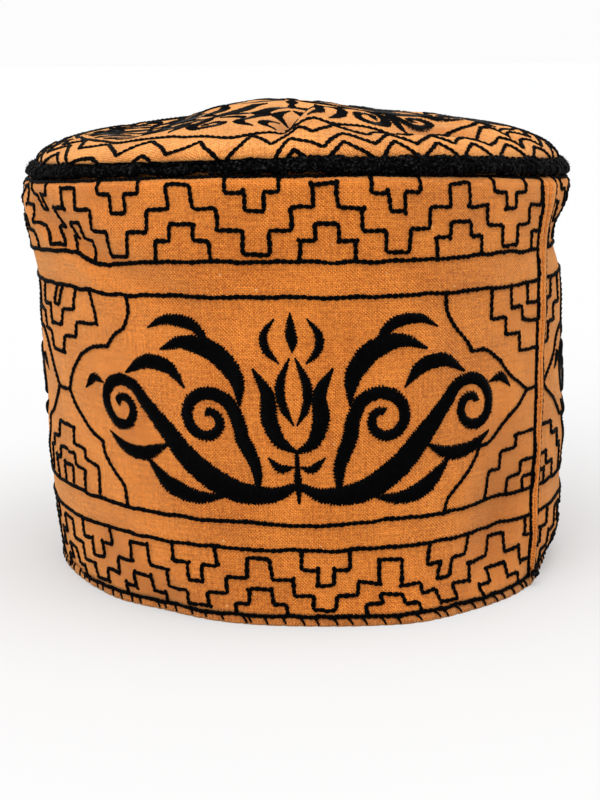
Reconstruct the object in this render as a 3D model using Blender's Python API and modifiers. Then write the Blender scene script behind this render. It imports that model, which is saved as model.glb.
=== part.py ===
# Embroidered cloth cap with a tall round side wall and a soft domed crown.
# Units are metres and +Z is up. The cap stands on its hem at z = 0.
# An angle runs round the cap from its front (-Y) towards +X.

import math

import bmesh
import bpy
from mathutils import Matrix, Vector

# Main sizes of the side wall, over the outside of the cloth
RIM_HALF_WIDTH = 0.0963
RIM_HALF_DEPTH = 0.0953
HEM_HALF_WIDTH = 0.0924
HEM_HALF_DEPTH = 0.0929
RIM_HEIGHT = 0.1493
RIM_SHIFT = -0.0056
RIM_SAG = 0.0062
RIM_SAG_BEND = 1.5
CLOTH = 0.0020

# Shoulder, crown and the cord that lies between them
CORD_THICKNESS = 0.0056
SHOULDER_ROUND = 0.0030
CROWN_RISE = 0.0145
CROWN_FULLNESS = 5.0

# Hem, seam and knot
HEM_ROLL_HEIGHT = 0.0028
HEM_ROLL_WIDTH = 0.0034
HEM_ROLL_PROUD = 0.0006
HEM_ROLL_ROUND = 0.6
SEAM_ANGLE = 60.0
SEAM_WIDTH = 0.0090
SEAM_PROUD = 0.0011
SEAM_MARGIN = 0.0014
KNOT_LENGTH = 0.0046
KNOT_THICKNESS = 0.0030

# Depth of the deepest fold, on the wall and on the crown
WALL_FOLD = 0.0040
CROWN_FOLD = 0.0040

CLEARANCE = 0.0003

# How finely each surface is divided. A dome spacing above 1 sets its rings closer
# together at the edge.
COLUMNS = 72
WALL_ROWS = 11
SHOULDER_ROWS = 3
NECK_ROWS = 2
CROWN_ROWS = 9
DOME_SPACING = 1.8
HEM_SIDES = 8
KNOT_SEGMENTS = 12

# Wall folds. angle and angle_spread are in degrees, height and height_spread are shares
# of the rim height, depth is a share of WALL_FOLD and counts outwards, and lean is how
# many degrees a fold turns over the full height.
FOLD_COLUMNS = ("angle", "height", "angle_spread", "height_spread", "depth", "lean")
WALL_FOLDS = (
    (-85, 0.89, 26, 0.08, 0.30, 0),
    (-85, 0.68, 26, 0.10, -0.25, 0),
    (-85, 0.24, 30, 0.13, 0.30, 0),
    (-56, 0.87, 7, 0.13, -0.55, -210),
    (-44, 0.90, 9, 0.10, 0.30, -160),
    (85, 0.95, 24, 0.07, 0.95, 0),
    (86, 0.81, 18, 0.07, -1.00, 0),
    (85, 0.33, 26, 0.19, 0.36, 0),
    (82, 0.00, 18, 0.045, -1.45, 0),
    (-62, 0.00, 16, 0.07, -0.50, 0),
    (20, 0.00, 13, 0.10, 1.00, 30),
    (-33, 0.00, 10, 0.07, -0.70, 0),
    (43, 0.19, 9, 0.13, -0.70, 20),
    (0, 0.50, 30, 0.22, 0.20, 0),
    (135, 0.45, 20, 0.30, -0.40, 35),
    (172, 0.80, 16, 0.14, 0.35, 0),
    (-150, 0.30, 18, 0.22, -0.45, -40),
    (-122, 0.62, 14, 0.16, 0.35, 30),
    (-172, 0.05, 14, 0.08, 0.40, 0),
)

# Crown folds. across and back are shares of the crown's half width and half depth from
# its middle, along and beside are a fold's spreads in the same shares, heading is the
# direction of its length in degrees from +X, and lift is a share of CROWN_FOLD.
HUMP_COLUMNS = ("across", "back", "along", "beside", "heading", "lift")
CROWN_HUMPS = (
    (-0.10, 0.00, 0.34, 0.34, 0, 0.80),
    (-0.58, 0.05, 0.90, 0.25, 86, -1.20),
    (-0.56, -0.40, 0.40, 0.09, 78, -0.50),
    (-0.02, -0.72, 0.24, 0.06, 80, -0.75),
    (0.14, -0.66, 0.26, 0.12, 60, 0.75),
    (0.44, -0.66, 0.22, 0.08, 48, -0.80),
    (0.58, -0.48, 0.26, 0.09, 22, 0.70),
    (0.70, -0.40, 0.18, 0.07, -30, -0.60),
    (0.50, 0.10, 0.80, 0.26, 90, -0.55),
    (0.25, 0.55, 0.30, 0.10, 55, -0.70),
    (-0.30, 0.60, 0.30, 0.10, -60, -0.60),
    (-0.05, 0.62, 0.26, 0.12, 90, 0.45),
)

# The seam's cross-section, on each side of its groove: place is a share of half the
# seam's width, and height is a share of SEAM_PROUD.
SEAM_SECTION = (
    (0.10, 0.00),
    (0.34, 0.85),
    (0.62, 1.00),
    (0.86, 0.45),
    (1.10, 0.00),
)

# Cloth and thread, as base colour and roughness
CLOTH_LOOK = ((0.62, 0.255, 0.072), 0.88)
THREAD_LOOK = ((0.012, 0.011, 0.013), 0.62)

CORD_RADIUS = CORD_THICKNESS / 2
WALL_FOOT = HEM_ROLL_HEIGHT + CLEARANCE
FLANGE_HEIGHT = RIM_HEIGHT - CORD_RADIUS - CLEARANCE
SHOULDER_START = FLANGE_HEIGHT - SHOULDER_ROUND
CROWN_INSET = CORD_THICKNESS + CLEARANCE
FLANGE_INSET = CROWN_INSET + CLOTH + CLEARANCE
NECK_RADIUS = CORD_RADIUS + CLEARANCE
NECK_TURN = 60.0


def rows_of(columns, table):
    return [dict(zip(columns, row)) for row in table]


def turn_between(angle, centre):
    return (angle - centre + 180.0) % 360.0 - 180.0


def bell(distance, spread):
    return math.exp(-((distance / spread) ** 2))


def fold_depth(angle, height):
    """How far the folds push the wall outwards."""
    share = height / RIM_HEIGHT
    total = 0.0
    for fold in rows_of(FOLD_COLUMNS, WALL_FOLDS):
        centre = fold["angle"] + fold["lean"] * (share - fold["height"])
        across = bell(turn_between(angle, centre), fold["angle_spread"])
        total += fold["depth"] * across * bell(share - fold["height"], fold["height_spread"])
    return total * WALL_FOLD


def half_sizes(height):
    """Half width, half depth and sideways shift of the wall."""
    share = height / RIM_HEIGHT
    width = HEM_HALF_WIDTH + (RIM_HALF_WIDTH - HEM_HALF_WIDTH) * share
    depth = HEM_HALF_DEPTH + (RIM_HALF_DEPTH - HEM_HALF_DEPTH) * share
    return width, depth, RIM_SHIFT * share


def seam_relief(angle, height):
    """Two ridges of folded cloth with a groove between them, ending at the shoulder."""
    width, depth, _ = half_sizes(height)
    distance = abs(math.radians(turn_between(angle, SEAM_ANGLE))) * (width + depth) / 2
    place = distance / (SEAM_WIDTH / 2)
    if place >= SEAM_SECTION[-1][0] or place <= SEAM_SECTION[0][0]:
        return 0.0
    fade = min(1.0, max(0.0, (SHOULDER_START - height) / SHOULDER_ROUND))
    for (near, low), (far, high) in zip(SEAM_SECTION, SEAM_SECTION[1:]):
        if near <= place <= far:
            return SEAM_PROUD * fade * (low + (high - low) * (place - near) / (far - near))
    return 0.0


def rim_sag(angle, height):
    """How far the wall droops at its two sides, from nothing at half height."""
    reach = min(1.0, max(0.0, 2 * height / FLANGE_HEIGHT - 1))
    return RIM_SAG * reach**RIM_SAG_BEND * math.sin(math.radians(angle)) ** 2


def on_ring(angle, height, inset):
    """A point at this inset from the outside of the cloth, level with the flat height."""
    width, depth, shift = half_sizes(height)
    out = fold_depth(angle, height) + seam_relief(angle, height) - inset
    turn = math.radians(angle)
    return Vector((
        shift + (width + out) * math.sin(turn),
        -(depth + out) * math.cos(turn),
        height - rim_sag(angle, height),
    ))


def on_rim(angle, inset, rise):
    """A point measured from the rim: inset inwards, and rise above the cord's middle."""
    point = on_ring(angle, FLANGE_HEIGHT, inset)
    point.z = RIM_HEIGHT + rise - rim_sag(angle, RIM_HEIGHT)
    return point


def even_angles():
    return [360.0 * k / COLUMNS for k in range(COLUMNS)]


def wall_angles():
    """Even angles, with closer ones across the seam's ridges."""
    radius = (RIM_HALF_WIDTH + RIM_HALF_DEPTH) / 2
    to_degrees = math.degrees(SEAM_WIDTH / 2 / radius)
    places = [side * place * to_degrees for place, _ in SEAM_SECTION for side in (-1, 1)]
    clear = SEAM_SECTION[-1][0] * to_degrees + math.degrees(SEAM_MARGIN / radius)
    kept = [a for a in even_angles() if abs(turn_between(a, SEAM_ANGLE)) > clear]
    return sorted(kept + [SEAM_ANGLE + place for place in places])


def new_object(name, mesh, look):
    obj = bpy.data.objects.new(name, mesh)
    cap.objects.link(obj)
    obj.parent = root
    mesh.materials.append(look)
    mesh.shade_smooth()
    return obj


def new_material(name, look):
    colour, roughness = look
    material = bpy.data.materials.new(name)
    material.use_nodes = True
    shader = material.node_tree.nodes["Principled BSDF"]
    shader.inputs["Base Color"].default_value = (*colour, 1.0)
    shader.inputs["Roughness"].default_value = roughness
    shader.inputs["Metallic"].default_value = 0.0
    return material


def wrapped_grid(name, columns, rows, place):
    """A grid bent into a ring by place(column, row), and joined where its ends meet."""
    shape = bmesh.new()
    bmesh.ops.create_grid(shape, x_segments=columns, y_segments=rows - 1, size=1.0)
    for vertex in shape.verts:
        column = round((vertex.co.x + 1) / 2 * columns)
        row = round((vertex.co.y + 1) / 2 * (rows - 1))
        vertex.co = place(column % columns, row)
    bmesh.ops.remove_doubles(shape, verts=shape.verts, dist=CLEARANCE / 10)
    mesh = bpy.data.meshes.new(name)
    shape.to_mesh(mesh)
    shape.free()
    return mesh


def thicken(obj):
    shell = obj.modifiers.new("cloth", "SOLIDIFY")
    shell.thickness = CLOTH
    shell.offset = -1.0
    shell.use_even_offset = True
    shell.use_rim = True


def wall_section():
    """Height and inset of each row of the wall, from its foot to the end of the flange."""
    section = []
    for k in range(WALL_ROWS):
        section.append((WALL_FOOT + (SHOULDER_START - WALL_FOOT) * k / (WALL_ROWS - 1), 0.0))
    for k in range(1, SHOULDER_ROWS + 1):
        turn = math.pi / 2 * k / SHOULDER_ROWS
        height = SHOULDER_START + SHOULDER_ROUND * math.sin(turn)
        section.append((height, SHOULDER_ROUND * (1 - math.cos(turn))))
    section.append((FLANGE_HEIGHT, max(FLANGE_INSET, SHOULDER_ROUND + CLOTH)))
    return section


def make_side_wall():
    angles = wall_angles()
    section = wall_section()

    def place(column, row):
        height, inset = section[row]
        return on_ring(angles[column], height, inset)

    mesh = wrapped_grid("side_wall", len(angles), len(section), place)
    thicken(new_object("side_wall", mesh, cloth))


def crown_lift(across, back, share):
    """How far the folds lift the dome, fading out at its edge."""
    total = 0.0
    for hump in rows_of(HUMP_COLUMNS, CROWN_HUMPS):
        heading = math.radians(hump["heading"])
        right = across - hump["across"]
        away = back - hump["back"]
        along = right * math.cos(heading) + away * math.sin(heading)
        beside = -right * math.sin(heading) + away * math.cos(heading)
        total += hump["lift"] * bell(along, hump["along"]) * bell(beside, hump["beside"])
    return total * CROWN_FOLD * (1 - share**CROWN_FULLNESS)


def on_neck(angle, turn):
    """A point where the crown hugs the cord, turned up from the cord's inner side."""
    inset = CORD_RADIUS + NECK_RADIUS * math.cos(math.radians(turn))
    return on_rim(angle, inset, NECK_RADIUS * math.sin(math.radians(turn)))


def on_crown(angle, share):
    """A point on the dome, where share runs from 0 in the middle to 1 at its edge."""
    edge = on_neck(angle, NECK_TURN)
    edge_rise = NECK_RADIUS * math.sin(math.radians(NECK_TURN))
    base = RIM_HEIGHT + edge_rise
    turn = math.radians(angle)
    point = Vector((RIM_SHIFT, 0.0, base)).lerp(edge, share)
    point.z = base + (edge.z - base) * share**2
    point.z += (CROWN_RISE - edge_rise) * math.sqrt(1 - share**CROWN_FULLNESS)
    point.z += crown_lift(share * math.sin(turn), -share * math.cos(turn), share)
    return point


def make_crown():
    angles = even_angles()
    foot_rise = CLEARANCE - (RIM_HEIGHT - FLANGE_HEIGHT)

    def place(column, row):
        if row == 0:
            return on_rim(angles[column], CROWN_INSET, foot_rise)
        if row <= NECK_ROWS:
            return on_neck(angles[column], NECK_TURN * (row - 1) / NECK_ROWS)
        share = 1 - ((row - 1 - NECK_ROWS) / CROWN_ROWS) ** DOME_SPACING
        return on_crown(angles[column], share)

    mesh = wrapped_grid("crown", COLUMNS, CROWN_ROWS + NECK_ROWS + 2, place)
    thicken(new_object("crown", mesh, cloth))


def make_cord():
    curve = bpy.data.curves.new("crown_cord", "CURVE")
    curve.dimensions = "3D"
    curve.bevel_depth = CORD_RADIUS
    curve.bevel_resolution = 2
    spline = curve.splines.new("POLY")
    spline.points.add(COLUMNS - 1)
    spline.use_cyclic_u = True
    for point, angle in zip(spline.points, even_angles()):
        point.co = (*on_rim(angle, CORD_RADIUS, 0.0), 1.0)
    curve.materials.append(thread)
    cord = bpy.data.objects.new("crown_cord", curve)
    cap.objects.link(cord)
    cord.parent = root


def hem_section():
    """Inset and height of the roll's outline, flat below and rounded above."""
    outline = []
    for k in range(HEM_SIDES):
        turn = math.pi * k / (HEM_SIDES - 1)
        inset = HEM_ROLL_WIDTH / 2 * (1 - math.cos(turn)) - HEM_ROLL_PROUD
        outline.append((inset, HEM_ROLL_HEIGHT * math.sin(turn) ** HEM_ROLL_ROUND))
    return outline


def make_hem_roll():
    angles = wall_angles()
    outline = hem_section()

    def place(column, row):
        inset, height = outline[row % len(outline)]
        point = on_ring(angles[column], WALL_FOOT, inset)
        point.z = height
        return point

    mesh = wrapped_grid("hem_roll", len(angles), len(outline) + 1, place)
    new_object("hem_roll", mesh, cloth)


def make_thread_knot():
    """A flattened ball of thread, beside the foot of the seam and against the hem."""
    radius = (HEM_HALF_WIDTH + HEM_HALF_DEPTH) / 2
    angle = SEAM_ANGLE - math.degrees((SEAM_WIDTH / 2 + KNOT_LENGTH / 2) / radius)
    gap = KNOT_THICKNESS / 2 + HEM_ROLL_PROUD + CLEARANCE
    centre = on_ring(angle, WALL_FOOT, -gap)
    centre.z = WALL_FOOT + KNOT_THICKNESS / 2
    shape = bmesh.new()
    bmesh.ops.create_uvsphere(shape, u_segments=KNOT_SEGMENTS, v_segments=KNOT_SEGMENTS // 2,
                              radius=0.5)
    size = Matrix.Diagonal((KNOT_LENGTH, KNOT_THICKNESS, KNOT_THICKNESS, 1.0))
    turn = Matrix.Rotation(math.radians(angle), 4, "Z")
    bmesh.ops.transform(shape, matrix=turn @ size, verts=shape.verts)
    mesh = bpy.data.meshes.new("thread_knot")
    shape.to_mesh(mesh)
    shape.free()
    new_object("thread_knot", mesh, thread).location = centre


def middle_of_plan():
    """The middle of the cap's widest reach across and from front to back."""
    heights = [height for height, inset in wall_section() if inset == 0.0]
    points = [on_ring(angle, height, 0.0) for angle in wall_angles() for height in heights]
    across = [point.x for point in points]
    back = [point.y for point in points]
    return (min(across) + max(across)) / 2, (min(back) + max(back)) / 2


for old in list(bpy.data.objects):
    bpy.data.objects.remove(old, do_unlink=True)

cap = bpy.data.collections.new("dervish_cap")
bpy.context.scene.collection.children.link(cap)
root = bpy.data.objects.new("cap_frame", None)
cap.objects.link(root)
middle_x, middle_y = middle_of_plan()
root.location = (-middle_x, -middle_y, 0.0)

cloth = new_material("orange_cotton", CLOTH_LOOK)
thread = new_material("black_thread", THREAD_LOOK)

make_side_wall()
make_crown()
make_cord()
make_hem_roll()
make_thread_knot()
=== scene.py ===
# Looks of an embroidered cloth cap: woven cotton, chain-stitched lines, satin-stitched
# scrolls and a braided cord, all laid on the same surfaces as the solid part.
# Units are metres and +Z is up. An angle runs round the cap from its front (-Y) towards +X.

import math

import bpy
import numpy as np
from mathutils import Matrix, Vector


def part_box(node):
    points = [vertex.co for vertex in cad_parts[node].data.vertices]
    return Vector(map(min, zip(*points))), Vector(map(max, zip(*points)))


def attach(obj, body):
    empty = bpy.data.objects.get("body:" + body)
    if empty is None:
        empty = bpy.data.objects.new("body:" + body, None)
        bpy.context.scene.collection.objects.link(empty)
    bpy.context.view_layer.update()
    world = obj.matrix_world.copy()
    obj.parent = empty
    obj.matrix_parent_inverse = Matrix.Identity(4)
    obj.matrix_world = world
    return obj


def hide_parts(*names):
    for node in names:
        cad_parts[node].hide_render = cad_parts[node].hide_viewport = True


# Sizes of the solid part, repeated here
RIM_HALF_WIDTH = 0.0963
RIM_HALF_DEPTH = 0.0953
HEM_HALF_WIDTH = 0.0924
HEM_HALF_DEPTH = 0.0929
RIM_HEIGHT = 0.1493
RIM_SHIFT = -0.0056
RIM_SAG = 0.0062
RIM_SAG_BEND = 1.5
CLOTH = 0.0020
CORD_THICKNESS = 0.0056
SHOULDER_ROUND = 0.0030
CROWN_RISE = 0.0145
CROWN_FULLNESS = 5.0
HEM_ROLL_HEIGHT = 0.0028
HEM_ROLL_WIDTH = 0.0034
HEM_ROLL_PROUD = 0.0006
HEM_ROLL_ROUND = 0.6
KNOT_LENGTH = 0.0046
KNOT_THICKNESS = 0.0030
WALL_FOLD = 0.0040
CROWN_FOLD = 0.0040
CLEARANCE = 0.0003

CORD_RADIUS = CORD_THICKNESS / 2
WALL_FOOT = HEM_ROLL_HEIGHT + CLEARANCE
FLANGE_HEIGHT = RIM_HEIGHT - CORD_RADIUS - CLEARANCE
SHOULDER_START = FLANGE_HEIGHT - SHOULDER_ROUND
SHOULDER_LENGTH = SHOULDER_ROUND * math.pi / 2
CROWN_INSET = CORD_THICKNESS + CLEARANCE
FLANGE_REACH = CROWN_INSET + CLOTH + CLEARANCE - SHOULDER_ROUND
NECK_RADIUS = CORD_RADIUS + CLEARANCE
NECK_TURN = 60.0
WALL_RADIUS = (RIM_HALF_WIDTH + RIM_HALF_DEPTH + HEM_HALF_WIDTH + HEM_HALF_DEPTH) / 4
CROWN_RADIUS = (RIM_HALF_WIDTH + RIM_HALF_DEPTH) / 2 - CORD_RADIUS - NECK_RADIUS / 2
EDGE_RISE = NECK_RADIUS * math.sin(math.radians(NECK_TURN))
NECK_SHARE = NECK_RADIUS * math.radians(NECK_TURN) / CROWN_RADIUS

# Wall folds as in the solid part. The finer creases after them are this script's own.
# angle and angle_spread are in degrees, height and height_spread are shares of the rim
# height, depth is a share of WALL_FOLD and counts outwards, and lean is how many degrees
# a fold turns over the full height.
FOLD_COLUMNS = ("angle", "height", "angle_spread", "height_spread", "depth", "lean")
WALL_FOLDS = (
    (-85, 0.89, 26, 0.08, 0.30, 0),
    (-85, 0.68, 26, 0.10, -0.25, 0),
    (-85, 0.24, 30, 0.13, 0.30, 0),
    (-56, 0.87, 7, 0.13, -0.55, -210),
    (-44, 0.90, 9, 0.10, 0.30, -160),
    (85, 0.95, 24, 0.07, 0.95, 0),
    (86, 0.81, 18, 0.07, -1.00, 0),
    (85, 0.33, 26, 0.19, 0.36, 0),
    (82, 0.00, 18, 0.045, -1.45, 0),
    (-62, 0.00, 16, 0.07, -0.50, 0),
    (20, 0.00, 13, 0.10, 1.00, 30),
    (-33, 0.00, 10, 0.07, -0.70, 0),
    (43, 0.19, 9, 0.13, -0.70, 20),
    (0, 0.50, 30, 0.22, 0.20, 0),
    (135, 0.45, 20, 0.30, -0.40, 35),
    (172, 0.80, 16, 0.14, 0.35, 0),
    (-150, 0.30, 18, 0.22, -0.45, -40),
    (-122, 0.62, 14, 0.16, 0.35, 30),
    (-172, 0.05, 14, 0.08, 0.40, 0),
)
WALL_CREASES = (
    (90, 0.955, 22, 0.05, -0.33, 0),
    (90, 0.77, 20, 0.06, 0.25, 0),
    (41, 0.00, 11, 0.06, 0.50, 0),
    (67, 0.00, 8, 0.06, -0.40, 0),
    (-66, 0.86, 3.0, 0.10, 0.22, -190),
    (-58, 0.84, 2.4, 0.09, -0.20, -200),
    (-50, 0.80, 2.6, 0.07, 0.16, -160),
    (-74, 0.62, 5.0, 0.16, -0.14, -60),
    (-48, 0.10, 3.5, 0.09, -0.16, 60),
    (12, 0.06, 5.0, 0.06, -0.12, -40),
    (48, 0.42, 3.0, 0.20, 0.10, 12),
    (77, 0.88, 4.0, 0.05, -0.16, 60),
    (110, 0.70, 4.0, 0.12, 0.16, 70),
    (160, 0.30, 4.0, 0.14, -0.16, -70),
    (-100, 0.40, 4.0, 0.15, 0.16, 60),
    (-160, 0.72, 4.0, 0.12, -0.14, 80),
)
ALL_WALL_FOLDS = WALL_FOLDS + WALL_CREASES

# How deep the waves of worn cloth are. Three of them add up, so they reach about twice this.
UNEVEN_DEPTH = 0.00022

# Crown folds as in the solid part. across and back are shares of the crown's half width
# and half depth, heading is in degrees from +X, and lift is a share of CROWN_FOLD.
HUMP_COLUMNS = ("across", "back", "along", "beside", "heading", "lift")
CROWN_HUMPS = (
    (-0.10, 0.00, 0.34, 0.34, 0, 0.80),
    (-0.58, 0.05, 0.90, 0.25, 86, -1.20),
    (-0.56, -0.40, 0.40, 0.09, 78, -0.50),
    (-0.02, -0.72, 0.24, 0.06, 80, -0.75),
    (0.14, -0.66, 0.26, 0.12, 60, 0.75),
    (0.44, -0.66, 0.22, 0.08, 48, -0.80),
    (0.58, -0.48, 0.26, 0.09, 22, 0.70),
    (0.70, -0.40, 0.18, 0.07, -30, -0.60),
    (0.50, 0.10, 0.80, 0.26, 90, -0.55),
    (0.25, 0.55, 0.30, 0.10, 55, -0.70),
    (-0.30, 0.60, 0.30, 0.10, -60, -0.60),
    (-0.05, 0.62, 0.26, 0.12, 90, 0.45),
)
CROWN_CREASES = (
    (-0.80, -0.28, 0.16, 0.035, 20, 0.22),
    (-0.36, -0.80, 0.14, 0.035, 70, -0.22),
    (0.30, -0.84, 0.12, 0.035, 75, 0.20),
    (0.62, -0.66, 0.14, 0.035, 40, -0.22),
    (0.84, -0.20, 0.14, 0.035, -10, 0.20),
    (0.10, 0.20, 0.30, 0.050, 30, 0.20),
    (-0.30, -0.10, 0.26, 0.045, -40, 0.20),
    (0.55, 0.45, 0.22, 0.045, 50, 0.20),
    (-0.62, 0.42, 0.22, 0.045, -50, -0.22),
    (0.00, 0.00, 1.30, 1.30, 0, -0.22),
    (-0.02, -0.80, 0.20, 0.030, 84, -0.80),
    (0.07, -0.82, 0.18, 0.050, 84, 0.85),
    (0.40, -0.76, 0.18, 0.035, 30, -0.90),
    (0.50, -0.62, 0.24, 0.045, 10, 0.60),
    (0.62, -0.64, 0.22, 0.040, 5, -1.10),
    (0.72, -0.52, 0.18, 0.040, -10, 0.80),
    (0.78, -0.43, 0.16, 0.035, -22, -1.00),
)

# Where the dome slopes off sooner: angle, spread, and how much less full it is there
SLOPES = (
    (-88, 42, 2.1),
    (88, 24, 1.0),
)

# Where the crown's edge bulges over the cord
BULGE_ANGLE = -24
BULGE_SPREAD = 30
BULGE_REACH = 0.045
BULGE_OUT = 0.0033
BULGE_UP = -0.0002

# The side seam leans: angle of each chain line at the foot, its slope and its curve upwards
SEAM_LEFT = (55.1, 4.8, 0.0)
SEAM_RIGHT = (57.8, 2.25, 6.65)
SEAM_PROUD = 0.0011
# The seam's section between those lines: place from left to right, height in SEAM_PROUD
SEAM_SECTION = (
    (0.00, 0.00),
    (0.10, 0.75),
    (0.24, 0.95),
    (0.33, 0.60),
    (0.39, -1.00),
    (0.45, 0.40),
    (0.56, 1.00),
    (0.74, 1.10),
    (0.90, 0.80),
    (1.02, 0.00),
)

# Thread sizes
LINK_LENGTH = 0.0021
LINK_HALF_WIDTH = 0.00043
LINK_UNEVEN = 0.07
LINK_SLIP = 0.00006
STRAND_RADIUS = 0.00040
SATIN_PITCH = 0.00048
SATIN_SLANT = 0.5
SATIN_LEAST = 0.0002
SATIN_TOOTH = 0.00034
SATIN_THREAD_SHARE = 0.62
SATIN_PAD = 0.00070
CROWN_SATIN_PAD = 0.00016
STEP = 0.0004
NORMAL_STEP = 0.0002
SPUR_SHARE = 0.40
SPUR_LENGTH = 0.0009
# How deep the chain lines are pulled into the cloth, and how far they wander on the wall
CROWN_SUNK = 0.00026
WALL_SUNK = 0.00010
HAND_WANDER = 0.00016

# Heights of the five stitched rings, and of the line tucked under the cord
CORD_LINE = 0.1450
RING_HEIGHTS = (0.1196, 0.1084, 0.0350, 0.0258, 0.0033)

# Where the pattern was pulled out of true. turn is in degrees and lift in metres.
DRIFT_COLUMNS = ("angle", "height", "angle_spread", "height_spread", "turn", "lift")
PATTERN_DRIFT = (
    (-63, 0.119, 13, 0.012, 8.5, 0.0008),
    (-62, 0.119, 9, 0.008, 0.0, 0.0010),
    (-40, 0.119, 8, 0.010, -1.0, -0.0020),
    (-6, 0.130, 8, 0.020, 1.0, 0.0004),
    (45, 0.120, 14, 0.010, 0.0, 0.0008),
    (-75, 0.003, 22, 0.008, 0.0, -0.0022),
    (-60, 0.036, 12, 0.006, 0.0, 0.0010),
    (45, 0.035, 8, 0.005, 0.0, 0.0008),
    (2, 0.035, 12, 0.005, 0.0, -0.0008),
    (32, 0.016, 24, 0.014, -2.0, 0.0),
    (20, 0.0165, 8, 0.0065, 0.0, -0.0034),
    (35, 0.010, 9, 0.009, -2.4, 0.0),
    (6, 0.006, 7, 0.006, -0.9, 0.0),
    (-28, 0.008, 13, 0.006, 0.0, -0.0010),
    (34, 0.146, 32, 0.003, 0.0, 0.0029),
    (-28, 0.145, 30, 0.003, 0.0, 0.0019),
    (-70, 0.145, 20, 0.003, 0.0, 0.0006),
)

rng = np.random.default_rng(7)


def rows_of(columns, table):
    return [dict(zip(columns, row)) for row in table]


def turn_between(angle, centre):
    return (angle - centre + 180.0) % 360.0 - 180.0


def bell(distance, spread):
    return np.exp(-((distance / spread) ** 2))


def unit(vectors):
    return vectors / np.linalg.norm(vectors, axis=-1, keepdims=True)


def lengths_along(points):
    """The length from the first of these points to each."""
    return np.concatenate([[0.0], np.cumsum(np.linalg.norm(np.diff(points, axis=0), axis=1))])


def sample(length, values, at):
    """Each column of values, taken at these lengths."""
    return np.stack([np.interp(at, length, column) for column in values.T], axis=-1)


def level_weights(reach):
    """Smoothing weights that leave noise as strong as it was."""
    weights = np.hanning(2 * reach + 1)
    return weights / np.sqrt((weights**2).sum())


def fold_depth(angle, height, table):
    """How far a table of folds pushes the wall outwards."""
    share = height / RIM_HEIGHT
    total = 0.0 * (angle + height)
    for fold in rows_of(FOLD_COLUMNS, table):
        centre = fold["angle"] + fold["lean"] * (share - fold["height"])
        across = bell(turn_between(angle, centre), fold["angle_spread"])
        total = total + fold["depth"] * across * bell(share - fold["height"], fold["height_spread"])
    return total * WALL_FOLD


def seam_edges(height):
    """Angles of the seam's left and right chain lines."""
    share = height / RIM_HEIGHT
    return [foot + slope * share + curve * share**2 for foot, slope, curve in (SEAM_LEFT, SEAM_RIGHT)]


def seam_relief(angle, height):
    left, right = seam_edges(height)
    middle = (left + right) / 2
    place = 0.5 + turn_between(angle, middle) / (right - left)
    places, heights = zip(*SEAM_SECTION)
    fade = np.clip((SHOULDER_START + SHOULDER_ROUND - height) / SHOULDER_ROUND, 0.0, 1.0)
    return SEAM_PROUD * fade * np.interp(place, places, heights, left=0.0, right=0.0)


def unevenness(angle, height):
    """Gentle waves of worn cloth."""
    turn = np.radians(angle)
    return UNEVEN_DEPTH * (
        np.sin(7 * turn + 95 * height + 1.3) * np.sin(5 * turn - 70 * height + 0.4)
        + 0.7 * np.sin(13 * turn - 160 * height) * np.sin(11 * turn + 120 * height + 2.0)
        + 0.5 * np.sin(29 * turn + 210 * height + 0.7)
    )


def wall_profile(run_up):
    """Level and inset of the cloth, this far up from the floor, round the shoulder too."""
    turn = np.clip((run_up - SHOULDER_START) / SHOULDER_ROUND, 0.0, math.pi / 2)
    beyond = np.maximum(run_up - SHOULDER_START - SHOULDER_LENGTH, 0.0)
    level = np.minimum(run_up, SHOULDER_START) + SHOULDER_ROUND * np.sin(turn)
    return level, SHOULDER_ROUND * (1 - np.cos(turn)) + beyond


def rim_sag(angle, level):
    reach = np.clip(2 * level / FLANGE_HEIGHT - 1, 0.0, 1.0)
    return RIM_SAG * reach**RIM_SAG_BEND * np.sin(np.radians(angle)) ** 2


def on_ring(angle, level, out):
    """A point this far outside the plain wall, at this level."""
    share = level / RIM_HEIGHT
    width = HEM_HALF_WIDTH + (RIM_HALF_WIDTH - HEM_HALF_WIDTH) * share
    depth = HEM_HALF_DEPTH + (RIM_HALF_DEPTH - HEM_HALF_DEPTH) * share
    turn = np.radians(angle)
    return np.stack([
        RIM_SHIFT * share + (width + out) * np.sin(turn) + PLAN_SHIFT[0],
        -(depth + out) * np.cos(turn) + PLAN_SHIFT[1],
        level - rim_sag(angle, level) + 0.0 * turn,
    ], axis=-1)


def solid_wall(angle, level):
    return on_ring(angle, level, fold_depth(angle, level, WALL_FOLDS))


def on_wall(angle, run_up):
    """The cloth's outer face."""
    level, inset = wall_profile(run_up)
    relief = fold_depth(angle, level, ALL_WALL_FOLDS)
    relief = relief + seam_relief(angle, level) + unevenness(angle, level)
    return on_ring(angle, level, relief - inset)


def on_rim(angle, inset, rise):
    """A point measured from the rim: inset inwards, and rise above the cord's middle."""
    point = on_ring(angle, FLANGE_HEIGHT + 0.0 * angle, fold_depth(angle, FLANGE_HEIGHT, WALL_FOLDS) - inset)
    point[..., 2] = RIM_HEIGHT + rise - rim_sag(angle, RIM_HEIGHT)
    return point


def crown_lift(across, back, share, table):
    total = 0.0 * (across + back)
    for hump in rows_of(HUMP_COLUMNS, table):
        heading = math.radians(hump["heading"])
        right = across - hump["across"]
        away = back - hump["back"]
        along = right * math.cos(heading) + away * math.sin(heading)
        beside = -right * math.sin(heading) + away * math.cos(heading)
        total = total + hump["lift"] * bell(along, hump["along"]) * bell(beside, hump["beside"])
    return total * CROWN_FOLD * (1 - share**CROWN_FULLNESS)


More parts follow.
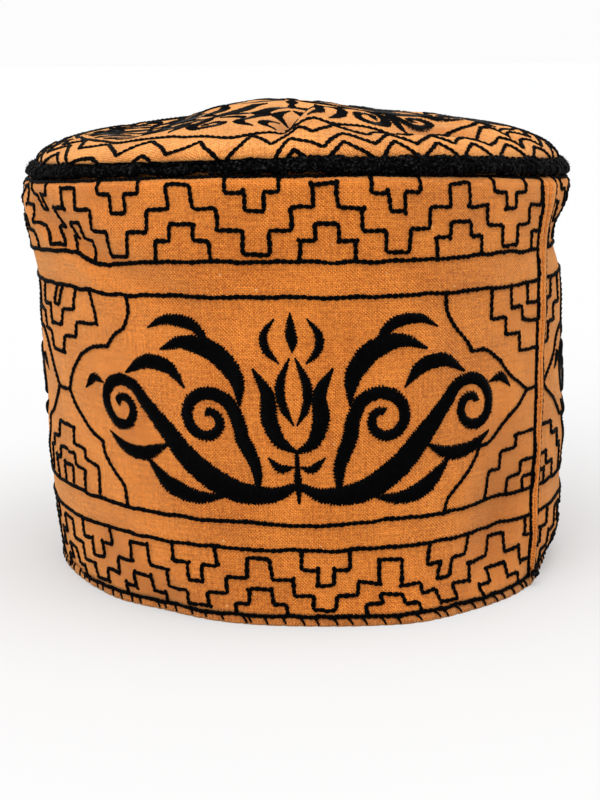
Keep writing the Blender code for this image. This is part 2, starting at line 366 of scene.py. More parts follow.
def on_crown(angle, share):
    """A point on the crown, where share is 0 in the middle, 1 at the dome's edge, and
    1 + NECK_SHARE at the foot of its neck behind the cord."""
    below = np.clip((share - 1) / NECK_SHARE, 0.0, 1.0)
    neck = np.radians(NECK_TURN) * (1 - below)
    edge = on_rim(angle, CORD_RADIUS + NECK_RADIUS * np.cos(neck), NECK_RADIUS * np.sin(neck))
    share = np.minimum(share, 1.0)
    base = RIM_HEIGHT + EDGE_RISE
    middle = np.array([RIM_SHIFT + PLAN_SHIFT[0], PLAN_SHIFT[1], base])
    point = middle + (edge - middle) * share[..., None]
    across = share * np.sin(np.radians(angle))
    back = -share * np.cos(np.radians(angle))
    fullness = CROWN_FULLNESS + 0.0 * angle
    for centre, spread, less in SLOPES:
        fullness = fullness - less * bell(turn_between(angle, centre), spread)
    point[..., 2] = base + (edge[..., 2] - base) * share**2
    point[..., 2] += (CROWN_RISE - EDGE_RISE) * np.sqrt(np.maximum(1 - share**fullness, 0.0))
    point[..., 2] += crown_lift(across, back, share, CROWN_HUMPS)
    point[..., 2] += crown_lift(across, back, share, CROWN_CREASES)
    bulge = bell(turn_between(angle, BULGE_ANGLE), BULGE_SPREAD) * bell(1 - share, BULGE_REACH) * (1 - below)
    point[..., 0] += BULGE_OUT * bulge * np.sin(np.radians(angle))
    point[..., 1] -= BULGE_OUT * bulge * np.cos(np.radians(angle))
    point[..., 2] += BULGE_UP * bulge
    return point


def crown_section():
    """Shares from the crown's middle to the foot of its neck, and the cloth's length to each."""
    share = 1 - np.linspace(1, 0, 400) ** 2
    rise = (CROWN_RISE - EDGE_RISE) * np.sqrt(np.maximum(1 - share**CROWN_FULLNESS, 0.0))
    length = np.concatenate([[0.0], np.cumsum(np.hypot(np.diff(share) * CROWN_RADIUS, np.diff(rise)))])
    return np.append(share, 1 + NECK_SHARE), np.append(length, length[-1] + NECK_SHARE * CROWN_RADIUS)


SECTION_SHARE, SECTION_LENGTH = crown_section()


def cloth_reach(share):
    """The cloth's length from the crown's middle out to a share."""
    beyond = np.maximum(np.asarray(share) - SECTION_SHARE[-1], 0.0) * CROWN_RADIUS
    return np.interp(share, SECTION_SHARE, SECTION_LENGTH) + beyond


def wall_at(run, run_up):
    """The wall by metres round from the front, and metres up."""
    return on_wall(np.degrees(run / WALL_RADIUS), run_up)


def crown_at(across, back):
    """The crown by metres of cloth right of, and behind, its middle."""
    share = np.interp(np.hypot(across, back), SECTION_LENGTH, SECTION_SHARE)
    share = np.maximum(share, 1e-6)
    return on_crown(np.degrees(np.arctan2(across, -back)), share)


def normals_at(place, first, second):
    """Outward unit normals of a surface, by small steps on it."""
    one = place(first + NORMAL_STEP, second) - place(first - NORMAL_STEP, second)
    two = place(first, second + NORMAL_STEP) - place(first, second - NORMAL_STEP)
    return unit(np.cross(one, two))


def drifted(path):
    """A wall path moved by the pattern's drift."""
    run, height = path[:, 0], path[:, 1]
    angle = np.degrees(run / WALL_RADIUS)
    turn = np.zeros(len(path))
    lift = np.zeros(len(path))
    for row in rows_of(DRIFT_COLUMNS, PATTERN_DRIFT):
        near = bell(turn_between(angle, row["angle"]), row["angle_spread"])
        near = near * bell(height - row["height"], row["height_spread"])
        turn += row["turn"] * near
        lift += row["lift"] * near
    return np.stack([np.radians(angle + turn) * WALL_RADIUS, height + lift], axis=1)


def even_points(path, step):
    """Evenly spaced points along a polyline."""
    path = np.asarray(path, dtype=float)
    length = lengths_along(path)
    count = max(3, int(round(length[-1] / step)) + 1)
    return sample(length, path, np.linspace(0.0, length[-1], count))


def softened(path, reach):
    """A path with its corners rounded over this many points, and its ends kept."""
    weights = np.hanning(2 * reach + 3)[1:-1]
    weights /= weights.sum()
    padded = np.concatenate([
        2 * path[:1] - path[reach:0:-1], path, 2 * path[-1:] - path[-2:-reach - 2:-1]
    ])
    return np.stack([np.convolve(padded[:, k], weights, mode="valid") for k in (0, 1)], axis=1)


def wandering(path, amount, wave):
    """A path with a hand's slight wander: sideways by about amount, in waves this long."""
    reach = max(2, int(wave / STEP / 2))
    noise = rng.normal(size=(len(path) + 4 * reach, 2))
    weights = level_weights(reach)
    smooth = np.stack([np.convolve(noise[:, k], weights, mode="same") for k in (0, 1)], axis=1)
    return path + amount * smooth[2 * reach:2 * reach + len(path)]


def mesh_object(name, points, faces, material, uv=None, turn=None, crease_shade=None):
    """An object from arrays. faces holds one row of point numbers for each four-sided face.
    turn is how far the uv runs in one turn, where the faces close into a ring.
    crease_shade says how deep in a crease each point lies, where the cloth's colour is darkened as painted
    shade."""
    mesh = bpy.data.meshes.new(name)
    mesh.vertices.add(len(points))
    mesh.vertices.foreach_set("co", np.ascontiguousarray(points, dtype=np.float32).ravel())
    mesh.loops.add(faces.size)
    mesh.loops.foreach_set("vertex_index", np.ascontiguousarray(faces, dtype=np.int32).ravel())
    mesh.polygons.add(len(faces))
    mesh.polygons.foreach_set("loop_start", np.arange(0, faces.size, 4, dtype=np.int32))
    mesh.update(calc_edges=True)
    if uv is not None:
        corners = uv[faces]
        if turn is not None:
            corners[:, :, 0] -= turn * np.round((corners[:, :, 0] - corners[:, :1, 0]) / turn)
        layer = mesh.uv_layers.new(name="cloth")
        layer.data.foreach_set("uv", np.ascontiguousarray(corners, dtype=np.float32).ravel())
    if crease_shade is not None:
        depth = mesh.attributes.new("crease_shade", "FLOAT", "POINT")
        depth.data.foreach_set("value", np.clip(crease_shade, 0.0, 1.0).astype(np.float32).ravel())
    mesh.shade_smooth()
    mesh.materials.append(material)
    obj = bpy.data.objects.new(name, mesh)
    bpy.context.scene.collection.objects.link(obj)
    return obj


def grid_faces(rows, columns, wrap_columns):
    """Faces of a grid of points numbered row by row."""
    last = columns if wrap_columns else columns - 1
    row, column = np.meshgrid(np.arange(rows - 1), np.arange(last), indexing="ij")
    right = (column + 1) % columns
    low = row * columns
    high = (row + 1) * columns
    faces = np.stack([low + column, low + right, high + right, high + column], axis=-1)
    return faces.reshape(-1, 4)


def closed_faces(around, corners):
    """Faces of a closed loop of this many rings, each of this many corners."""
    ring, corner = np.meshgrid(np.arange(around), np.arange(corners), indexing="ij")
    here = ring * corners
    ahead = (ring + 1) % around * corners
    after = (corner + 1) % corners
    faces = np.stack([here + corner, ahead + corner, ahead + after, here + after], axis=-1)
    return faces.reshape(-1, 4)


def repeated(faces, count):
    """The faces of one copy, for this many copies of its points."""
    each = faces.max() + 1
    return (np.arange(count)[:, None, None] * each + faces[None]).reshape(-1, 4)


def thicken(obj):
    shell = obj.modifiers.new("cloth", "SOLIDIFY")
    shell.thickness = CLOTH
    shell.offset = -1.0
    shell.use_even_offset = True
    shell.use_rim = True


def dress(piece, slot, *nodes):
    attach(piece, "root")
    if nodes:
        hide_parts(*nodes)


# Cloth

SEAM_ZONE = 6.0
FINE_COLUMN = 0.25
WIDE_COLUMN = 1.05
WALL_ROWS = 82
SHOULDER_ROWS = 8
CROWN_COLUMNS = 300
CROWN_ROWS = 64
HEM_COLUMNS = 1080
HEM_PINCH = 0.00045
PINCH_SPREAD = 0.45
WHIP_STITCHES = 108
WHIP_LEAN = 1.5
WHIP_RADIUS = 0.00042


def wall_columns():
    """Column angles at the foot, closer together across the seam."""
    middle = (SEAM_LEFT[0] + SEAM_RIGHT[0]) / 2
    fine = np.arange(-SEAM_ZONE, SEAM_ZONE, FINE_COLUMN)
    count = int(round((360 - 2 * SEAM_ZONE) / WIDE_COLUMN))
    wide = np.linspace(SEAM_ZONE, 360 - SEAM_ZONE, count, endpoint=False)
    return middle + np.concatenate([fine, wide])


def make_wall(material):
    foot = np.linspace(WALL_FOOT, SHOULDER_START, WALL_ROWS)
    shoulder = SHOULDER_START + SHOULDER_LENGTH * np.arange(1, SHOULDER_ROWS + 1) / SHOULDER_ROWS
    top = np.array([shoulder[-1] + FLANGE_REACH])
    heights = np.concatenate([foot, shoulder, top])
    columns = wall_columns()
    angle, height = np.meshgrid(columns, heights)
    left, right = seam_edges(height)
    start = (SEAM_LEFT[0] + SEAM_RIGHT[0]) / 2
    follow = bell(turn_between(angle, start), 40.0)
    angle = angle + follow * ((left + right) / 2 - start)
    points = on_wall(angle, height).reshape(-1, 3)
    uv = np.stack([np.radians(angle) * WALL_RADIUS, height], axis=-1).reshape(-1, 2)
    faces = grid_faces(len(heights), len(columns), True)
    # How deep each point lies in a narrow crease, where the cloth's colour is darkened as painted shade
    narrow = [row for row in ALL_WALL_FOLDS if row[2] < 12 and row[4] < 0]
    crease_shade = -fold_depth(angle, height, narrow) / WALL_FOLD
    wall = mesh_object("wall_cloth", points, faces, material, uv, 2 * math.pi * WALL_RADIUS, crease_shade)
    thicken(wall)
    dress(wall, "cap_cloth", "side_wall")


def make_crown(material):
    angles = np.linspace(0, 360, CROWN_COLUMNS, endpoint=False)
    neck = 1 + NECK_SHARE * np.linspace(1, 0, 8)
    dome = 1 - (np.arange(1, CROWN_ROWS + 1) / CROWN_ROWS) ** 1.5
    shares = np.concatenate([neck, np.maximum(dome, 0.002)])
    foot = on_rim(angles, CROWN_INSET, CLEARANCE - (RIM_HEIGHT - FLANGE_HEIGHT))
    rows = [foot] + [on_crown(angles, np.full(len(angles), share)) for share in shares]
    reach = cloth_reach(np.concatenate([[shares[0] + 0.02], shares]))
    turn = np.radians(angles)
    uv = np.concatenate([np.stack([r * np.sin(turn), -r * np.cos(turn)], axis=-1) for r in reach])
    points = np.concatenate(rows)
    faces = grid_faces(len(rows), len(angles), True)
    inner = np.minimum(np.concatenate([[1.0], shares]), 1.0)[:, None] + 0.0 * turn
    # How deep each point lies in a narrow crease, where the cloth's colour is darkened as painted shade
    narrow = [row for row in CROWN_HUMPS + CROWN_CREASES if row[3] < 0.12 and row[5] < 0]
    crease_shade = -crown_lift(inner * np.sin(turn), -inner * np.cos(turn), inner, narrow) / CROWN_FOLD
    crown = mesh_object("crown_cloth", points, faces, material, uv, None, crease_shade)
    thicken(crown)
    dress(crown, "cap_cloth", "crown")


def hem_outline(turn):
    inset = HEM_ROLL_WIDTH / 2 * (1 - np.cos(turn)) - HEM_ROLL_PROUD
    return inset, HEM_ROLL_HEIGHT * np.sin(turn) ** HEM_ROLL_ROUND


def make_hem(material, stitches):
    """The rolled hem, pinched in at each stitch."""
    turns = np.linspace(0.0, math.pi, 15)
    angles = np.linspace(0, 360, HEM_COLUMNS, endpoint=False)
    away = turn_between(angles[:, None], stitches[None] + 0.5 * WHIP_LEAN)
    pinch = -HEM_PINCH * bell(away, PINCH_SPREAD).max(axis=1)
    out = fold_depth(angles, WALL_FOOT, ALL_WALL_FOLDS) + 0.4 * seam_relief(angles, WALL_FOOT)
    rows = []
    uv = []
    for k, turn in enumerate(turns):
        inset, height = hem_outline(min(turn, math.pi - 1e-9))
        point = on_ring(angles, WALL_FOOT + 0.0 * angles, out - inset + pinch)
        point[..., 2] = height
        rows.append(point)
        uv.append(np.stack([np.radians(angles) * WALL_RADIUS, np.full(len(angles), -0.0006 * k)], axis=-1))
    count = len(turns)
    faces = grid_faces(count, len(angles), True)
    column = np.arange(len(angles))
    right = (column + 1) % len(angles)
    top = (count - 1) * len(angles)
    close = np.stack([top + column, top + right, right, column], axis=-1)
    hem = mesh_object("hem_cloth_painted_shade", np.concatenate(rows), np.concatenate([faces, close]), material,
                      np.concatenate(uv), 2 * math.pi * WALL_RADIUS)
    dress(hem, "cap_cloth", "hem_roll")


# Chain stitch. A link is a loop that starts inside the one before it. Each row of one side
# of it is a share of its length, of its half width, and of its strand's radius upwards.
LINK_SIDE = (
    (-0.12, 0.00, 0.7),
    (0.16, 0.62, 1.35),
    (0.54, 1.00, 1.0),
    (0.88, 0.66, 0.65),
    (1.04, 0.00, 0.35),
)


def link_loop():
    """The whole loop in metres, and the way outwards at each point as a unit step."""
    there = np.array(LINK_SIDE)
    back = there[-2:0:-1] * (1, -1, 1)
    loop = np.concatenate([there, back]) * (LINK_LENGTH, LINK_HALF_WIDTH, STRAND_RADIUS)
    heading = np.roll(loop, -1, axis=0) - np.roll(loop, 1, axis=0)
    return loop, unit(np.stack([-heading[:, 1], heading[:, 0]], axis=1))


def along_path(place, path):
    """Lengths, points, headings, sideways steps and normals along a stitched path."""
    points = place(path[:, 0], path[:, 1])
    normal = normals_at(place, path[:, 0], path[:, 1])
    heading = unit(np.gradient(points, axis=0))
    side = unit(np.cross(normal, heading))
    return lengths_along(points), points, heading, side, normal


def chain_links(place, path, sunk):
    """Points of every link along one path: links, loop points, strand corners, 3."""
    loop, outward = link_loop()
    length, points, heading, side, normal = along_path(place, path)
    count = max(1, int(round(length[-1] / LINK_LENGTH)))
    start = np.arange(count) * length[-1] / count
    pitch = length[-1] / count
    at = start[:, None] + loop[None, :, 0] * pitch / LINK_LENGTH
    middle = sample(length, points, at)
    t = sample(length, heading, at)
    s = sample(length, side, at)
    n = sample(length, normal, at)
    size = 1 + rng.normal(0, LINK_UNEVEN, (count, 1, 1))
    slip = rng.normal(0, LINK_SLIP, (count, 1, 1))
    over = np.clip(at - length[-1], 0, None) + np.clip(at, None, 0)
    middle = middle + t * over[..., None] + s * (loop[None, :, 1, None] * size + slip)
    middle = middle + n * (loop[None, :, 2, None] - sunk)
    out = t * outward[None, :, 0, None] + s * outward[None, :, 1, None]
    radius = STRAND_RADIUS * size
    corners = [middle + radius * out, middle + radius * n, middle - radius * out, middle - radius * n]
    return np.stack(corners, axis=2)


def stitched(name, place, paths, material, sunk=WALL_SUNK):
    """One mesh of chain-stitched lines, pulled into the cloth by sunk."""
    links = np.concatenate([chain_links(place, path, sunk) for path in paths if len(path) > 3])
    count, around, corners, _ = links.shape
    faces = repeated(closed_faces(around, corners), count)
    dress(mesh_object(name, links.reshape(-1, 3), faces, material), "black_thread")


# Pattern of the wall. Levels are shares of a band's height, and widths are shares of one
# repeat: the big stepped line, the small one standing below and the one hanging above.
BAND_REPEATS = 13
REPEAT = 2 * math.pi * WALL_RADIUS / BAND_REPEATS
TOP_BAND_START = 5.8
BOTTOM_BAND_START = 45.2
TOP_LEVELS = {"peak": 0.92, "upper": 0.668, "lower": 0.39, "valley": 0.098,
              "small_peak": 0.475, "small_shoulder": 0.27, "hanging_shoulder": 0.848, "hanging_tip": 0.62}
BOTTOM_LEVELS = {"peak": 0.861, "upper": 0.558, "lower": 0.313, "valley": 0.098,
                 "small_peak": 0.39, "small_shoulder": 0.174, "hanging_shoulder": 0.71, "hanging_tip": 0.466}
PEAK_HALF = 0.088
UPPER_EDGE = 0.253
LOWER_EDGE = 0.413
SMALL_PEAK_HALF = 0.084
SMALL_SHOULDER_HALF = 0.198
HANGING_TOP_HALF = 0.18
HANGING_TIP_HALF = 0.06


def big_steps(level):
    """One repeat of the big stepped line, from valley to valley."""
    right = [
        (PEAK_HALF, level["peak"]), (PEAK_HALF, level["upper"]),
        (UPPER_EDGE, level["upper"]), (UPPER_EDGE, level["lower"]),
        (LOWER_EDGE, level["lower"]), (LOWER_EDGE, level["valley"]), (0.5, level["valley"]),
    ]
    left = [(-x, y) for x, y in reversed(right)]
    return left + right


def small_steps(level):
    """The small stepped shape that stands on the lower ring."""
    right = [
        (SMALL_PEAK_HALF, level["small_peak"]), (SMALL_PEAK_HALF, level["small_shoulder"]),
        (SMALL_SHOULDER_HALF, level["small_shoulder"]), (SMALL_SHOULDER_HALF, 0.0),
    ]
    return [(-x, y) for x, y in reversed(right)] + right


def hanging_steps(level):
    """The small stepped shape that hangs from the upper ring, half a repeat along."""
    right = [
        (HANGING_TIP_HALF, level["hanging_tip"]), (HANGING_TIP_HALF, level["hanging_shoulder"]),
        (HANGING_TOP_HALF, level["hanging_shoulder"]), (HANGING_TOP_HALF, 1.0),
    ]
    return [(0.5 - x, y) for x, y in reversed(right)] + [(0.5 + x, y) for x, y in right]


def band_paths(start, low, high, level):
    """All stepped paths of a band between two heights."""
    paths = []
    for k in range(BAND_REPEATS):
        centre = math.radians(start) * WALL_RADIUS - k * REPEAT
        for shape in (big_steps(level), small_steps(level), hanging_steps(level)):
            path = [(centre + x * REPEAT, low + y * (high - low)) for x, y in shape]
            paths.append(even_points(path, STEP))
    return paths


def ring_path(height):
    """A level line from one side of the seam round to the other."""
    left, right = seam_edges(height)
    ends = [(math.radians(angle) * WALL_RADIUS, height) for angle in (right - 360, left)]
    return even_points(ends, STEP)


def clear_of_seam(paths):
    """Wraps each path to one turn of the wall, and cuts out what would cross the seam."""
    kept = []
    for path in paths:
        angle = np.degrees(path[:, 0] / WALL_RADIUS)
        left, right = seam_edges(path[:, 1])
        middle = (left + right) / 2
        away = turn_between(angle, middle)
        outside = np.abs(away) > (right - left) / 2 - 0.2
        wrapped = np.stack([np.radians(middle + np.where(away > 0, away - 360, away)) * WALL_RADIUS,
                            path[:, 1]], axis=1)
        side = np.where(outside, np.sign(away), 0)
        cuts = np.flatnonzero(np.diff(side)) + 1
        for part, mark in zip(np.split(wrapped, cuts), np.split(side, cuts)):
            if mark[0] != 0 and len(part) > 4:
                kept.append(part)
    return kept


def corner_spurs(paths):
    """Short stitches that overshoot some of the corners."""
    spurs = []
    for path in paths:
        heading = unit(np.diff(path, axis=0))
        for k in np.flatnonzero((heading[1:] * heading[:-1]).sum(axis=1) < 0.5):
            if rng.random() < SPUR_SHARE:
                way = heading[k] if rng.random() < 0.5 else -heading[k + 1]
                reach = np.linspace(0, SPUR_LENGTH, 5)[:, None]
                spurs.append(path[k + 1] + reach * way)
    return spurs


def sewn(paths):
    """Paths as they were sewn: pulled by drift, with soft corners and a slight wander."""
    done = []
    for path in clear_of_seam(paths + corner_spurs(paths)):
        path = softened(path, 1) if len(path) > 6 else path
        done.append(wandering(drifted(path), HAND_WANDER, 0.010))
    return done


# Cartouches, from each joint between two of them: its angle, and how far its nested steps
# stand aside. The first joint is the seam, whose shapes were drawn a little differently.
# Lines are degrees from the joint and height, for one side of it.
JOINTS = ((57.2, 0.0), (-60.3, -0.9), (178.4, 0.0))
SEAM_ENDS = (
    ((27.6, 0.1084), (27.3, 0.1020), (25.4, 0.0965), (22.8, 0.0915), (21.2, 0.0880)),
    ((21.2, 0.0880), (17.2, 0.0876), (13.6, 0.0838), (10.6, 0.0784), (7.2, 0.0742), (3.8, 0.0708)),
    ((3.8, 0.0708), (7.0, 0.0668), (10.2, 0.0638), (13.8, 0.0592), (16.6, 0.0562), (19.4, 0.0554)),
    ((19.4, 0.0554), (20.4, 0.0512), (24.0, 0.0452), (27.0, 0.0402), (28.3, 0.0350)),
)
PLAIN_ENDS = (
    ((25.0, 0.1084), (25.2, 0.1037), (24.8, 0.1008), (23.4, 0.0970), (20.4, 0.0937), (18.3, 0.0894)),
    ((18.3, 0.0894), (14.7, 0.0889), (12.2, 0.0873), (9.8, 0.0852), (7.7, 0.0823), (5.2, 0.0776),
     (2.7, 0.0708)),
    ((2.7, 0.0708), (4.3, 0.0675), (7.4, 0.0627), (9.8, 0.0597), (12.6, 0.0573), (14.8, 0.0558)),
    ((14.4, 0.0556), (15.2, 0.0514), (16.5, 0.0485), (17.7, 0.0460), (20.1, 0.0419), (20.6, 0.0350)),
)
SEAM_NESTS = (
    ((15.6, 0.1084), (15.6, 0.0978), (11.3, 0.0978), (11.3, 0.0917), (6.8, 0.0917), (6.8, 0.0852),
     (0.0, 0.0848)),
    ((9.4, 0.1084), (9.4, 0.1008), (5.7, 0.1008), (5.7, 0.0958), (0.0, 0.0945)),
    ((3.4, 0.1084), (3.4, 0.1014), (0.0, 0.1012)),
    ((16.4, 0.0350), (16.4, 0.0457), (12.8, 0.0457), (12.8, 0.0516), (8.0, 0.0516), (8.0, 0.0562),
     (0.0, 0.0562)),
    ((9.8, 0.0350), (9.8, 0.0414), (5.6, 0.0414), (5.6, 0.0460), (0.0, 0.0460)),
    ((4.4, 0.0350), (4.4, 0.0402), (0.0, 0.0402)),
)
PLAIN_NESTS = (
    ((14.3, 0.1084), (16.1, 0.1018), (16.4, 0.0970), (9.4, 0.0959), (8.7, 0.0906), (3.7, 0.0899),
     (2.9, 0.0838),
     (0.0, 0.0838)),
    ((8.2, 0.1084), (8.5, 0.1004), (3.2, 0.0997), (2.6, 0.0938), (0.0, 0.0936)),
    ((1.6, 0.1084), (1.1, 0.1008), (0.0, 0.1008)),
    ((12.8, 0.0366), (12.5, 0.0465), (8.5, 0.0477), (8.2, 0.0513), (4.3, 0.0519), (3.9, 0.0577),
     (0.0, 0.0575)),
    ((7.4, 0.0350), (7.8, 0.0437), (4.1, 0.0441), (3.8, 0.0485), (0.0, 0.0483)),
    ((2.1, 0.0360), (2.2, 0.0430), (0.0, 0.0429)),
)


def smooth_curve(points, step):
    """A smooth curve through points, at even spacing. Each point may carry more values."""
    points = np.asarray(points, dtype=float)
    before = np.concatenate([2 * points[:1] - points[1:2], points[:-1]])
    after = np.concatenate([points[1:], 2 * points[-1:] - points[-2:-1]])
    slope = (after - before) / 2
    t = np.linspace(0, 1, 24, endpoint=False)[:, None, None]
    start, end = points[:-1], points[1:]
    curve = (
        (2 * t**3 - 3 * t**2 + 1) * start + (t**3 - 2 * t**2 + t) * slope[:-1]
        + (3 * t**2 - 2 * t**3) * end + (t**3 - t**2) * slope[1:]
    )
    curve = curve.transpose(1, 0, 2).reshape(-1, points.shape[1])
    curve = np.concatenate([curve, points[-1:]])
    length = lengths_along(curve[:, :2])
    count = max(4, int(round(length[-1] / step)) + 1)
    return sample(length, curve, np.linspace(0, length[-1], count))


def panel_paths():
    """Outlines and nests on both sides of every joint between two cartouches."""
    paths = []
    for k, (joint, aside) in enumerate(JOINTS):
        ends, nests = (SEAM_ENDS, SEAM_NESTS) if k == 0 else (PLAIN_ENDS, PLAIN_NESTS)
        bar = (ends[1][-1], (-0.2, ends[1][-1][1]))
        for side in (1, -1):
            def to_wall(points, shift=0.0):
                start = joint + shift
                return [(math.radians(start + side * a) * WALL_RADIUS, height) for a, height in points]

            paths += [smooth_curve(to_wall(line), STEP) for line in ends]
            paths.append(even_points(to_wall(bar), STEP))
            paths += [even_points(to_wall(line, aside), STEP) for line in nests]
    return paths


def seam_paths():
    """The chain lines at the seam's two edges."""
    heights = np.linspace(WALL_FOOT, SHOULDER_START + SHOULDER_ROUND, 8)
    left, right = seam_edges(heights)
    lines = [np.stack([np.radians(edge) * WALL_RADIUS, heights], axis=1) for edge in (left, right)]
    return [wandering(even_points(line, STEP), 0.00012, 0.012) for line in lines]


# Satin stitch

def satin_threads(place, stroke, deep):
    """Threads laid across a stroke of points and half widths: threads, 5 points, 3 corners, 3."""
    curve = smooth_curve(stroke, SATIN_PITCH)
    heading = unit(np.gradient(curve[:, :2], axis=0))
    across = np.stack([-heading[:, 1], heading[:, 0]], axis=1) + SATIN_SLANT * heading
    half = np.maximum(curve[:, 2:], SATIN_LEAST) * (1 + rng.normal(0, 0.03, (len(curve), 1)))
    teeth = 0.45 * (-1.0) ** np.arange(len(curve))[:, None] + 0.55 * rng.uniform(-1.0, 1.0, half.shape)
    half = half + teeth * np.minimum(SATIN_TOOTH, 0.26 * half)
    q = np.array([-1.0, -0.6, 0.0, 0.6, 1.0])
    flat = curve[:, None, :2] + across[:, None, :] * half[:, None, :] * q[None, :, None]
    points = place(flat[..., 0], flat[..., 1])
    normal = normals_at(place, flat[..., 0], flat[..., 1])
    side = np.cross(normal, unit(np.gradient(points, axis=1)))
    pad = np.minimum(deep, 0.6 * half)[:, None, :]
    rise = pad * np.sqrt(1 - 0.96 * q**2)[None, :, None] + rng.normal(0, 0.00006, (len(curve), 1, 1))
    middle = points + normal * rise
    wide = SATIN_THREAD_SHARE * SATIN_PITCH
    corners = [middle + side * wide - normal * 0.0002, middle + normal * 0.00022,
               middle - side * wide - normal * 0.0002]
    return np.stack(corners, axis=2)


def satin(name, place, strokes, deep, material):
    threads = np.concatenate([satin_threads(place, stroke, deep) for stroke in strokes])
    count, length, corners, _ = threads.shape
    faces = repeated(grid_faces(length, corners, False), count)
    dress(mesh_object(name, threads.reshape(-1, 3), faces, material), "black_thread")


MILLIMETRE = 0.001
UPWARDS = np.array([0.0, 0.0, 1.0])


def volute(across, up, radius, start, turn, thick):
    """A spiral's points and half widths: radius and thick run from first to last."""
    t = np.linspace(0, 1, 13)
    angle = np.radians(start + turn * t)
    reach = radius[0] + (radius[1] - radius[0]) * t
    half = thick[0] + (thick[1] - thick[0]) * t
    return list(zip(across + reach * np.cos(angle), up + reach * np.sin(angle), half))


# The right half of a scroll of leaves, in millimetres from the middle of its cartouche.
# Each point is across, up and half width.
SCROLL_HALF = (
    [(0, -24, 1.0), (9, -27.5, 2.6), (22, -26, 3.8), (34, -18.5, 4.0), (43, -8.5, 3.3), (51, 0.5, 2.5)]
    + volute(61.5, -2, (9.8, 2.4), 128, -450, (2.1, 1.3)),
    [(13, -27, 0.6), (13.5, -18, 2.0), (17, -9, 2.4)]
    + volute(28.5, -3, (10.0, 2.4), 175, -450, (2.3, 1.3)),
    [(17.5, 2, 0.4), (18.5, 11, 2.6), (25, 19, 3.4), (35, 22, 2.3), (44, 19, 0.4)],
    [(26, 21, 0.4), (32, 27.5, 1.9), (41, 29, 1.6), (48, 26, 0.3)],
    [(36, 7, 0.4), (41.5, 13, 2.3), (50, 14.5, 2.3), (58.5, 10, 0.4)],
    [(24, -28.5, 0.4), (34, -29.5, 2.2), (44, -26, 2.8), (52, -18, 0.4)],
    [(43, -12.5, 0.4), (52, -16.5, 2.3), (61, -16, 2.0), (69, -11.5, 0.3)],
    [(70, 5, 0.3), (75, 6, 1.5), (80, 2, 0.3)],
    [(0, -13, 0.6), (5.4, -9.5, 2.1), (8.2, -2, 2.7), (8.2, 6, 2.2), (12.5, 14, 0.4)],
    [(0.6, -4, 0.3), (3.6, 2, 1.3), (4.2, 9, 1.5), (1.0, 17.5, 0.3)],
    [(1.2, -18, 0.3), (5, -18.6, 1.5), (9, -15, 0.3)],
    [(4.4, 16, 0.3), (8.0, 20, 1.3), (8.6, 25, 1.2), (5.2, 30, 0.3)],
)
SCROLL_MIDDLE = (
    [(0, 19.5, 0.3), (0, 23.5, 1.8), (0, 27, 1.5), (0, 32, 0.3)],
    [(0, -30, 0.4), (0, -24, 1.2), (0, -18, 0.8), (0, -13, 0.6)],
)


def scroll_strokes(middle, height):
    """The scroll's strokes on the wall, both halves and the middle."""
    strokes = []
    for side in (1, -1):
        for stroke in SCROLL_HALF:
            strokes.append([(side * x, y, w) for x, y, w in stroke])
    strokes += [list(stroke) for stroke in SCROLL_MIDDLE]
    size = MILLIMETRE
    run = math.radians(middle) * WALL_RADIUS
    return [[(run + x * size, height + y * size, w * size) for x, y, w in stroke] for stroke in strokes]


# Crown pattern

CHEVRONS = 34
CHEVRON_LINES = ((1.014, 0.968), (0.974, 0.920), (0.922, 0.862))
CHEVRON_CORNER = -8.5
CROWN_RINGS = (0.842,)
# Where the zigzags are drawn wider: angle, spread, and how much wider
CHEVRON_STRETCH = (
    (-52, 26, 0.75),
    (4, 5, -0.12),
    (15, 5, 0.30),
    (66, 22, 0.35),
)
# Where the zigzags and ring were pulled outwards: angle, spread and share
CROWN_PULL = (
    (-38, 16, 0.080),
    (-13, 12, 0.090),
)


def polar_path(angles, shares):
    """A crown path by angle and share."""
    turn = np.radians(angles)
    for centre, spread, pull in CROWN_PULL:
        shares = shares + pull * bell(turn_between(angles, centre), spread)
    reach = cloth_reach(shares)
    return np.stack([reach * np.sin(turn), -reach * np.cos(turn)], axis=1)


def crown_paths():
    paths = []
    corner = np.arange(2 * CHEVRONS)
    width = np.ones(len(corner))
    for centre, spread, wider in CHEVRON_STRETCH:
        width = width + wider * bell(turn_between(corner * 180 / CHEVRONS, centre), spread)
    angles = np.cumsum(width) * 360 / width.sum()
    nearest = 2 * np.argmin(np.abs(turn_between(angles[::2], CHEVRON_CORNER)))
    angles = angles + CHEVRON_CORNER - angles[nearest]
    for outer, inner in CHEVRON_LINES:
        shares = np.where(corner % 2, outer, inner) + rng.normal(0, 0.004, len(corner))
        turned = angles + rng.normal(0, 0.5, len(corner))
        closed = polar_path(np.append(turned, turned[0] + 360), np.append(shares, shares[0]))
        path = even_points(closed, STEP)
        seen = np.hypot(path[:, 0], path[:, 1]) < SECTION_LENGTH[-1]
        cuts = np.flatnonzero(np.diff(seen.astype(int))) + 1
        parts = zip(np.split(path, cuts), np.split(seen, cuts))
        paths += [part for part, mark in parts if mark[0] and len(part) > 4]
    for share in CROWN_RINGS:
        angles = np.linspace(0, 360, 181)
        paths.append(even_points(polar_path(angles, np.full(len(angles), share)), STEP))
    return [wandering(softened(path, 1), 0.0003, 0.012) for path in paths]


# Tulips and leaves that turn about the crown's middle, in millimetres: sideways, outwards
# and half width. Those marked half are mirrored.
CROWN_TURNS = 6
CROWN_REACH = 1.085
